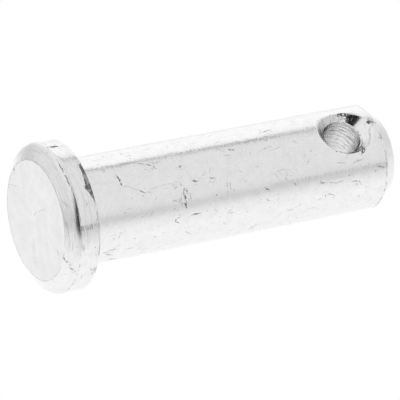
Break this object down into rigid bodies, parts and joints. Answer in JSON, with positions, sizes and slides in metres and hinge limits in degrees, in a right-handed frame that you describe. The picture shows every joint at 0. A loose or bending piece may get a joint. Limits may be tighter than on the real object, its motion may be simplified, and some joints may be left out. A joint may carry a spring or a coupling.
{
  "type": "clevis pin",
  "caption": "Headed steel clevis pin: straight shank, flat bevelled head, tapered tip and a countersunk cross hole for a cotter pin.",
  "frame": {"origin": "centre of the head's outer face, which the pin stands on", "axes": "+Z along the pin from the head to the tip; +X along the cross hole"},
  "size_m": [0.0108, 0.0108, 0.0279],
  "materials": {
    "zinc_plated_steel": "bright zinc plating on turned steel, with handling marks"
  },
  "bodies": {
    "root": {"clevis_pin": "zinc_plated_steel"}
  },
  "joints": []
}
